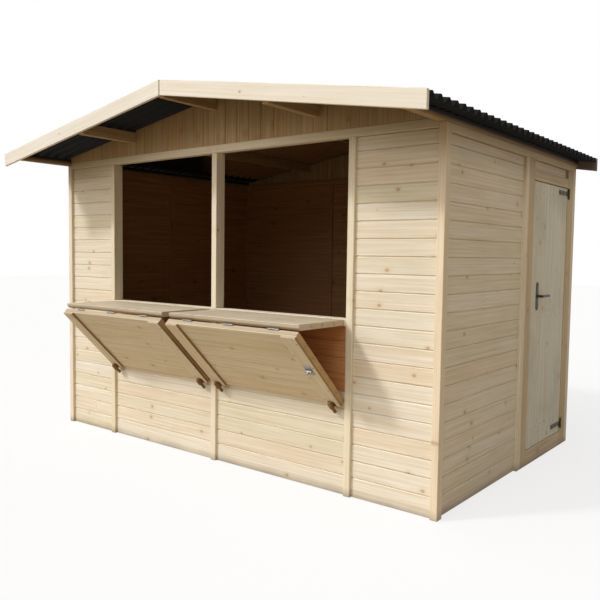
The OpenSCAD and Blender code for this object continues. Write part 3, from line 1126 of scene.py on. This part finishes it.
@dataclass
class Roof:
    """Purlins, fascia boards, corrugated sheets and the ridge cap."""

    timbers: tuple[tuple[str, Finish], ...] = (
        ("ridge_purlin", ROOF_PINE), ("middle_purlins", ROOF_PINE), ("eave_purlins", EAVE_PINE),
    )
    purlin_arris: float = 0.002
    uncut: float = 1.2
    joint_gap: float = 0.004
    points: int = 12
    sheet_rows: int = 6
    edge_area: float = 1e-4
    ridge_gap: float = 0.001
    crest_y: float = -0.7615
    cap_w: float = 0.13
    cap_round: float = 0.008
    cap_grid: tuple[int, int] = (24, 16)
    nail_rows: tuple[float, ...] = (0.105, 0.75, 1.48)
    nail_radius: float = 0.011
    nail_rise: float = 0.006

    def build(self) -> None:
        """Makes the roof from the purlins up."""
        self.purlins()
        self.fascia("front_fascia_boards", -Y, FASCIA_PINE, "pine_fascia")
        self.fascia("back_fascia_boards", Y, STAINED_PINE, "stained_fascia")
        for side in Side:
            self.sheet(side)
        self.cap()
        self.nails()

    def purlins(self) -> None:
        """Planes each purlin's top to the slope."""
        for node, finish in self.timbers:
            work = Joinery(node + "_timber")
            for solid in solids(node):
                size = Vector((solid.size.y, solid.size.x, solid.size.z))
                work.add(size, lie(solid.centre, Y, Z), arris=self.purlin_arris,
                         cuts=LINES.slope_cuts(LINES.sheet_under(0.0) - LINES.seat))
            work.finish(finish, "pine_frame", node)

    def fascia(self, node: str, facing: Vector, finish: Finish, slot: str) -> None:
        """Makes the two boards that meet under the ridge at one end of the roof.

        Args:
            node: the CAD node.
            facing: the way it looks.
            finish: what the boards are.
            slot: the record's material slot.
        """
        work = Joinery(node + "_timber")
        low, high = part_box(node)
        middle = Vector(((LINES.half_roof + self.joint_gap) / 2, (low.y + high.y) / 2, 0.0))
        middle.z = LINES.roof_top(middle.x) - LINES.fascia_h / 2
        size = Vector((LINES.half_roof * self.uncut, LINES.fascia_h * math.cos(LINES.pitch),
                       high.y - low.y))
        for side in Side:
            hand = side.value
            along = Vector((hand * math.cos(LINES.pitch), 0.0, -math.sin(LINES.pitch)))
            centre = Vector((hand * middle.x, middle.y, middle.z))
            cuts = [(X * hand * self.joint_gap, X * -hand), (X * hand * LINES.half_roof, X * hand)]
            work.add(size, lie(centre, along, facing), cuts=cuts)
        work.finish(finish, slot, node)

    def sheet(self, side: Side) -> None:
        """Rolls one slope's corrugated sheet.

        Args:
            side: the slope.
        """
        node = side.name.lower() + "_roof_sheet"
        work = Piece(node + "_waves")
        mesh = work.mesh
        reach = LINES.half_roof - LINES.wave_h * math.sin(LINES.pitch)
        length = reach / math.cos(LINES.pitch) - self.ridge_gap
        depth = LINES.depth - 2 * (LINES.fascia_t + LINES.seat)
        middle = (LINES.wave_h - LINES.sheet_t) / 2
        waves = round(depth / LINES.wave_pitch * self.points)
        bmesh.ops.create_grid(mesh, x_segments=self.sheet_rows, y_segments=waves, size=0.5)
        bmesh.ops.scale(mesh, vec=(length, depth, 1.0), verts=mesh.verts)
        for vert in mesh.verts:
            turn = math.tau * (vert.co.y - self.crest_y) / LINES.wave_pitch
            vert.co.z = middle + middle * math.cos(turn)
        bmesh.ops.solidify(mesh, geom=mesh.faces[:], thickness=-LINES.sheet_t)
        bmesh.ops.translate(mesh, vec=X * (self.ridge_gap + length / 2), verts=mesh.verts)
        bmesh.ops.rotate(mesh, matrix=Matrix.Rotation(LINES.pitch, 3, "Y"), verts=mesh.verts)
        bmesh.ops.translate(mesh, vec=Z * LINES.sheet_under(0.0), verts=mesh.verts)
        if side is Side.LEFT:
            bmesh.ops.scale(mesh, vec=(-1.0, 1.0, 1.0), verts=mesh.verts)
        bmesh.ops.recalc_face_normals(mesh, faces=mesh.faces)
        for face in mesh.faces:
            face.smooth = len(face.verts) == 4 and face.calc_area() > self.edge_area
        # The underside over the room wears painted bounce light
        work.finish(BITUMEN, "bitumen_sheet", node, zones=[UNDER_ROOF])

    def cap(self) -> None:
        """Folds the ridge cap over both slopes."""
        work = Piece("ridge_cap_fold")
        mesh = work.mesh
        low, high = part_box("ridge_cap")
        rows, columns = self.cap_grid
        bmesh.ops.create_grid(mesh, x_segments=rows, y_segments=columns, size=0.5)
        bmesh.ops.scale(mesh, vec=(2 * self.cap_w, high.y - low.y, 1.0), verts=mesh.verts)
        for vert in mesh.verts:
            fold = math.hypot(vert.co.x, self.cap_round)
            vert.co.z = LINES.roof_top(fold) + LINES.seat
        bmesh.ops.solidify(mesh, geom=mesh.faces[:], thickness=-LINES.sheet_t)
        bmesh.ops.recalc_face_normals(mesh, faces=mesh.faces)
        work.finish(BITUMEN, "bitumen_sheet", "ridge_cap")

    def nails(self) -> None:
        """Drives capped nails through every second crest over each purlin."""
        work = Ironmongery("roof_nail_caps")
        reach = LINES.depth / 2 - LINES.fascia_t - LINES.wave_pitch / 4
        step = 2 * LINES.wave_pitch
        first = self.crest_y - step * int((self.crest_y + reach) / step)
        count = int((reach - first) / step) + 1
        for x in self.nail_rows:
            top = LINES.roof_top(x) + (LINES.sheet_t + LINES.seat if x < self.cap_w else 0.0)
            for side in Side:
                for i in range(count):
                    at = Vector((side.value * x, first + i * step, top))
                    work.head(at, LINES.upward(side), self.nail_radius, self.nail_rise, socket=False)
        work.finish(BITUMEN, "bitumen_sheet")


@dataclass
class Flaps:
    """Two folding counter flaps: a level counter leaf and a prop leaf sloping back to the wall."""

    boards: Boarding = Boarding(vee=0.0025, slit=0.001)
    fold_gap: float = 0.004
    prop_angle: float = math.radians(45)
    prop_t: float = 0.028
    batten_t: float = 0.014
    batten_w: float = 0.092
    batten_arris: float = 0.002
    counter_boards: int = 4
    prop_boards: int = 6
    chamfer: float = 0.014
    screw_in: float = 0.012
    screw_radius: float = 0.0045
    screw_rise: float = 0.0012
    bolt_plate: tuple[float, float] = (0.042, 0.040)
    latch_plate: tuple[float, float] = (0.040, 0.066)
    latch_at: float = 0.215
    plate_t: float = 0.0032
    plate_screw: float = 0.003
    plate_inset: float = 0.0042
    knuckles: int = 5
    knuckle_gap: float = 0.0008
    pin_share: float = 1 / 3

    def build(self) -> None:
        """Makes the leaves and battens, and then their metal work."""
        counters = Joinery("counter_leaves_boards")
        props = Joinery("prop_leaves_boards")
        battens = Joinery("prop_battens_timber")
        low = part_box("counter_leaves")[0]
        fold = Matrix.Translation((0.0, low.y, low.z - self.fold_gap))
        turn = fold @ Matrix.Rotation(-self.prop_angle, 4, "X")
        prop_l = self.prop_length()
        for solid in solids("counter_leaves"):
            edges = steps(solid.low.y, solid.size.y, self.counter_boards)
            under = Vector((0.0, solid.low.y, solid.low.z + self.chamfer))
            self.boards.fill(counters, solid, Z, Run.LEVEL, edges,
                             cuts=[(under, -(Y + Z).normalized())])
            leaf = Solid(Vector((solid.low.x, 0.0, -self.prop_t)), Vector((solid.high.x, prop_l, 0.0)))
            edges = steps(0.0, prop_l, self.prop_boards)
            self.boards.fill(props, leaf, -Z, Run.LEVEL, edges, turn)
            for x in self.batten_lines(solid):
                centre = Vector((x, prop_l / 2, -self.prop_t - self.batten_t / 2))
                battens.add(Vector((prop_l, self.batten_w, self.batten_t)),
                            turn @ lie(centre, Y, -Z), arris=self.batten_arris)
        inward, top = turn.to_3x3() @ Z, turn.to_3x3() @ -Y
        # The underside, the ends, the batten edges and the rims at the fold wear painted shade
        ends, rim = Looking(X, both=True), (RIM_PINE, Looking(top))
        counters.finish(COUNTER_PINE, "pine_flaps", "counter_leaves",
                        zones=[(FLAP_SHADE_PINE, Looking(-Z)), (RIM_PINE, Looking(-Y))])
        props.finish(FLAP_PINE, "pine_flaps", "prop_leaves",
                     zones=[(END_PINE, ends), (FLAP_SHADE_PINE, Looking(inward)), rim])
        battens.finish(FLAP_PINE, "pine_flaps", "prop_battens", zones=[(EDGE_PINE, ends), rim])
        self.metal(turn, prop_l)

    def batten_lines(self, leaf: Solid) -> tuple[float, float]:
        """Middles of the two battens of a leaf, from side to side."""
        return leaf.low.x + self.batten_w / 2, leaf.high.x - self.batten_w / 2

    def prop_length(self) -> float:
        """Length of a prop leaf down its slope, from its CAD box."""
        low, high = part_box("prop_leaves")
        return (high.y - low.y - self.prop_t * math.sin(self.prop_angle)) / math.cos(self.prop_angle)

    def metal(self, turn: Matrix, prop_l: float) -> None:
        """Makes the hinges, bolts and latch, and the screws of the battens.

        Args:
            turn: the frame of the prop leaves.
            prop_l: their length.
        """
        out = turn.to_3x3() @ -Z
        face = -self.prop_t - self.batten_t
        bolts, latch = Ironmongery("flap_bolts_iron"), Ironmongery("flap_latch_zinc")
        screws, hinges = Ironmongery("batten_screws_zinc"), Ironmongery("flap_hinges_zinc")
        bolts.shape("flap_bolts")
        latch.shape("flap_latch")
        aside = self.batten_w / 2 - self.screw_in
        for leaf in solids("counter_leaves"):
            for x in self.batten_lines(leaf):
                for i in range(self.prop_boards):
                    down = prop_l * (i + 0.5) / self.prop_boards
                    at = Vector((x + aside * (-1) ** i, down, face))
                    screws.head(turn @ at, out, self.screw_radius, self.screw_rise)
                middle = Vector((x, prop_l - self.bolt_plate[1] / 2, face))
                self.plate_screws(bolts, turn, middle, self.bolt_plate)
        middle = Vector((x, self.latch_at + self.latch_plate[1] / 2, face))
        self.plate_screws(latch, turn, middle, self.latch_plate)
        for solid in solids("flap_hinges"):
            step = solid.size.x / self.knuckles
            middle = Vector((0.0, solid.centre.y, solid.centre.z))
            for i in range(self.knuckles):
                left = solid.low.x + i * step + self.knuckle_gap / 2
                right = left + step - self.knuckle_gap
                hinges.rod(middle + X * left, middle + X * right, solid.size.z / 2)
            hinges.rod(middle + X * solid.low.x, middle + X * solid.high.x,
                       solid.size.z * self.pin_share)
        bolts.finish(RUSTY_IRON, "black_iron", "flap_bolts")
        latch.finish(ZINC, "zinc_fitting", "flap_latch")
        hinges.finish(ZINC, "zinc_fitting", "flap_hinges")
        screws.finish(ZINC, "zinc_fitting")

    def plate_screws(
        self, work: Ironmongery, turn: Matrix, middle: Vector, plate: tuple[float, float],
    ) -> None:
        """Sets a screw in each corner of a plate on a batten.

        Args:
            work: the piece that gets the screws.
            turn: the frame of the prop leaves.
            middle: the middle of the plate's back, in that frame.
            plate: the plate's width and length.
        """
        width, length = plate
        for across in (-1, 1):
            for down in (-1, 1):
                corner = Vector((across * (width / 2 - self.plate_inset),
                                 down * (length / 2 - self.plate_inset), -self.plate_t))
                work.head(turn @ (middle + corner), turn.to_3x3() @ -Z, self.plate_screw,
                          self.screw_rise)


@dataclass
class Doorway:
    """Door frame, and the boarded door that swings in it."""

    arris: float = 0.0025
    boards: Boarding = Boarding(vee=0.003)
    door_boards: int = 7
    nail_radius: float = 0.0035
    nail_rise: float = 0.0008
    nail_lifts: tuple[float, float] = (-0.012, 0.028)
    nail_spread: float = 0.022
    bolt_radius: float = 0.008
    bolt_rise: float = 0.0045
    bolt_steps: tuple[float, ...] = (0.02, 0.075, 0.13)
    screw_radius: float = 0.0045
    screw_rise: float = 0.0012
    iron_t: float = 0.0032
    plate_in: float = 0.012
    plate_share: float = 0.32
    handle_screws: float = 0.067
    handle_t: float = 0.0042
    handle_half: float = 0.018

    def build(self) -> None:
        """Makes the frame, the door's boards and ledges, and then their metal work."""
        for node in ("door_jambs", "door_head", "door_threshold"):
            square_timbers(node, self.arris, JAMB_PINE, "door_timber", zones=[INSIDE])
        leaf = Joinery("door_leaf_boards")
        solid = solids("door_leaf")[0]
        edges = steps(solid.low.y, solid.size.y, self.door_boards)
        self.boards.fill(leaf, solid, X, Run.UPRIGHT, edges)
        leaf.finish(DOOR_PINE, "door_timber", "door_leaf", body="door")
        square_timbers("door_ledges", self.arris, DOOR_PINE, "door_timber", body="door")
        self.nails(solid, edges)
        self.hinges(solid)
        self.handle(solid)

    def nails(self, leaf: Solid, edges: Sequence[float]) -> None:
        """Nails each board of the door to each ledge.

        Args:
            leaf: the door leaf's box.
            edges: the edges of its boards.
        """
        work = Ironmongery("door_nails_zinc")
        for ledge in solids("door_ledges"):
            for low, high in zip(edges, edges[1:]):
                for lift, hand in zip(self.nail_lifts, (-1, 1)):
                    y = (low + high) / 2 + hand * self.nail_spread
                    at = Vector((leaf.high.x, y, ledge.centre.z + lift))
                    work.head(at, X, self.nail_radius, self.nail_rise, socket=False)
        work.finish(ZINC, "zinc_fitting", body="door")

    def hinges(self, leaf: Solid) -> None:
        """Makes the strap hinges, bolted to the door and screwed to the jamb.

        Args:
            leaf: the door leaf's box.
        """
        straps, plates = Ironmongery("door_straps_iron"), Ironmongery("door_hinge_plates_iron")
        straps.shape("door_straps")
        plates.shape("door_hinge_plates")
        face = leaf.high.x + self.iron_t
        for strap in solids("door_straps"):
            for step in self.bolt_steps:
                at = Vector((face, strap.low.y + step, strap.centre.z))
                straps.head(at, X, self.bolt_radius, self.bolt_rise, socket=False)
        for plate in solids("door_hinge_plates"):
            for hand in (-1, 1):
                z = plate.centre.z + hand * self.plate_share * plate.size.z
                at = Vector((face, plate.high.y - self.plate_in, z))
                plates.head(at, X, self.screw_radius, self.screw_rise)
        straps.finish(WORN_IRON, "black_iron", "door_straps", body="door")
        plates.finish(WORN_IRON, "black_iron", "door_hinge_plates")

    def handle(self, leaf: Solid) -> None:
        """Makes the lever and its long plate, with a screw at each end.

        Args:
            leaf: the door leaf's box.
        """
        work = Ironmongery("door_handle_iron")
        work.shape("door_handle")
        low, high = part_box("door_handle")
        for hand in (-1, 1):
            z = (low.z + high.z) / 2 + hand * self.handle_screws
            at = Vector((leaf.high.x + self.handle_t, low.y + self.handle_half, z))
            work.head(at, X, self.screw_radius, self.screw_rise)
        work.finish(BLACK_IRON, "black_iron", "door_handle", body="door")


@dataclass
class Studio:
    """Pale floor, a key light with a soft fill beside it, even sky and the camera."""

    camera_at: tuple[float, float, float] = (2.9525, -3.6596, 1.2476)
    yaw: float = 0.67091
    tilt: float = -0.06522
    roll: float = -0.01344
    lens: float = 41.24
    sensor: float = 36.0
    view_end: float = 200.0
    key_way: tuple[float, float, float] = (0.8, 1.0, -1.09)
    key_strength: float = 1.72
    key_spread: float = 7.0
    fill_way: tuple[float, float, float] = (0.35, 1.0, -1.05)
    fill_strength: float = 1.74
    fill_spread: float = 80.0
    white: str = "#FFFFFF"
    sky: float = 0.36
    sky_shade: str = "#FFFBF4"
    floor_half: float = 30.0
    floor_glow: float = 0.75
    floor_shade: str = "#EBEAE8"
    floor_bounce: str = "#AD9B80"

    def build(self) -> None:
        """Sets the view, then makes the camera, lights and floor."""
        bpy.context.scene.view_settings.view_transform = "Standard"
        self.camera()
        self.lamp("key", self.key_way, self.key_strength, self.key_spread)
        self.lamp("fill", self.fill_way, self.fill_strength, self.fill_spread)
        self.world()
        self.floor()

    def camera(self) -> None:
        """Stands the camera where the photograph was taken from."""
        lens = bpy.data.cameras.new("camera")
        lens.lens = self.lens
        lens.sensor_width = self.sensor
        lens.clip_end = self.view_end
        eye = bpy.data.objects.new("camera", lens)
        turn = (Matrix.Rotation(self.yaw, 4, "Z") @ Matrix.Rotation(self.tilt, 4, "X")
                @ Matrix.Rotation(self.roll, 4, "Y") @ Matrix.Rotation(math.pi / 2, 4, "X"))
        eye.matrix_world = Matrix.Translation(self.camera_at) @ turn
        bpy.context.scene.collection.objects.link(eye)
        bpy.context.scene.camera = eye

    def lamp(self, name: str, way: tuple[float, float, float], strength: float, spread: float) -> None:
        """Hangs a lamp high on the front left.

        Args:
            name: the lamp's name.
            way: the way its light travels.
            strength: how bright it is.
            spread: how wide it looks from the hut, in degrees; wider is softer.
        """
        lamp = bpy.data.lights.new(name, "SUN")
        lamp.energy = strength
        lamp.angle = math.radians(spread)
        hung = bpy.data.objects.new(name, lamp)
        hung.rotation_euler = Vector(way).to_track_quat("-Z", "Y").to_euler()
        bpy.context.scene.collection.objects.link(hung)

    def world(self) -> None:
        """Makes an even sky that shows white."""
        world = bpy.data.worlds.new("studio")
        nodes = Shading(world)
        light, white = [
            add_node(nodes.tree, "ShaderNodeBackground", {"Color": linear(shade), "Strength": strength})
            for shade, strength in ((self.sky_shade, self.sky), (self.white, 1.0))
        ]
        nodes.either(nodes.seen(), light, white, "ShaderNodeOutputWorld")
        bpy.context.scene.world = world

    def floor(self) -> None:
        """Lays the floor, nearly white, which keeps a faint shadow."""
        mesh = bmesh.new()
        bmesh.ops.create_grid(mesh, x_segments=1, y_segments=1, size=self.floor_half)
        data = bpy.data.meshes.new("studio_floor")
        mesh.to_mesh(data)
        mesh.free()
        floor = bpy.data.objects.new("studio_floor", data)
        bpy.context.scene.collection.objects.link(floor)
        data.materials.append(bpy.data.materials.new("pale_studio_paper"))
        nodes = Shading(data.materials[0])
        seen = nodes.seen()
        shade = nodes.mix(seen, self.floor_bounce, self.floor_shade)
        paper = add_node(nodes.tree, "ShaderNodeBsdfDiffuse", {"Color": shade})
        glow = add_node(nodes.tree, "ShaderNodeEmission", {
            "Color": linear(self.white), "Strength": 1.0})
        glowing = nodes.maths("MULTIPLY", seen, self.floor_glow)
        nodes.either(glowing, paper, glow, "ShaderNodeOutputMaterial")


def main() -> None:
    """Builds the studio and every sub-assembly in order."""
    logging.basicConfig(level=logging.INFO, format="%(name)s %(message)s")
    assemblies = (
        Studio(), FloorBase(), WallFrame(), WallBoarding(), Gables(), Roof(), Flaps(), Doorway(),
    )
    for assembly in assemblies:
        assembly.build()
        LOG.info("%s done", type(assembly).__name__)


if __name__ == "__main__":
    main()
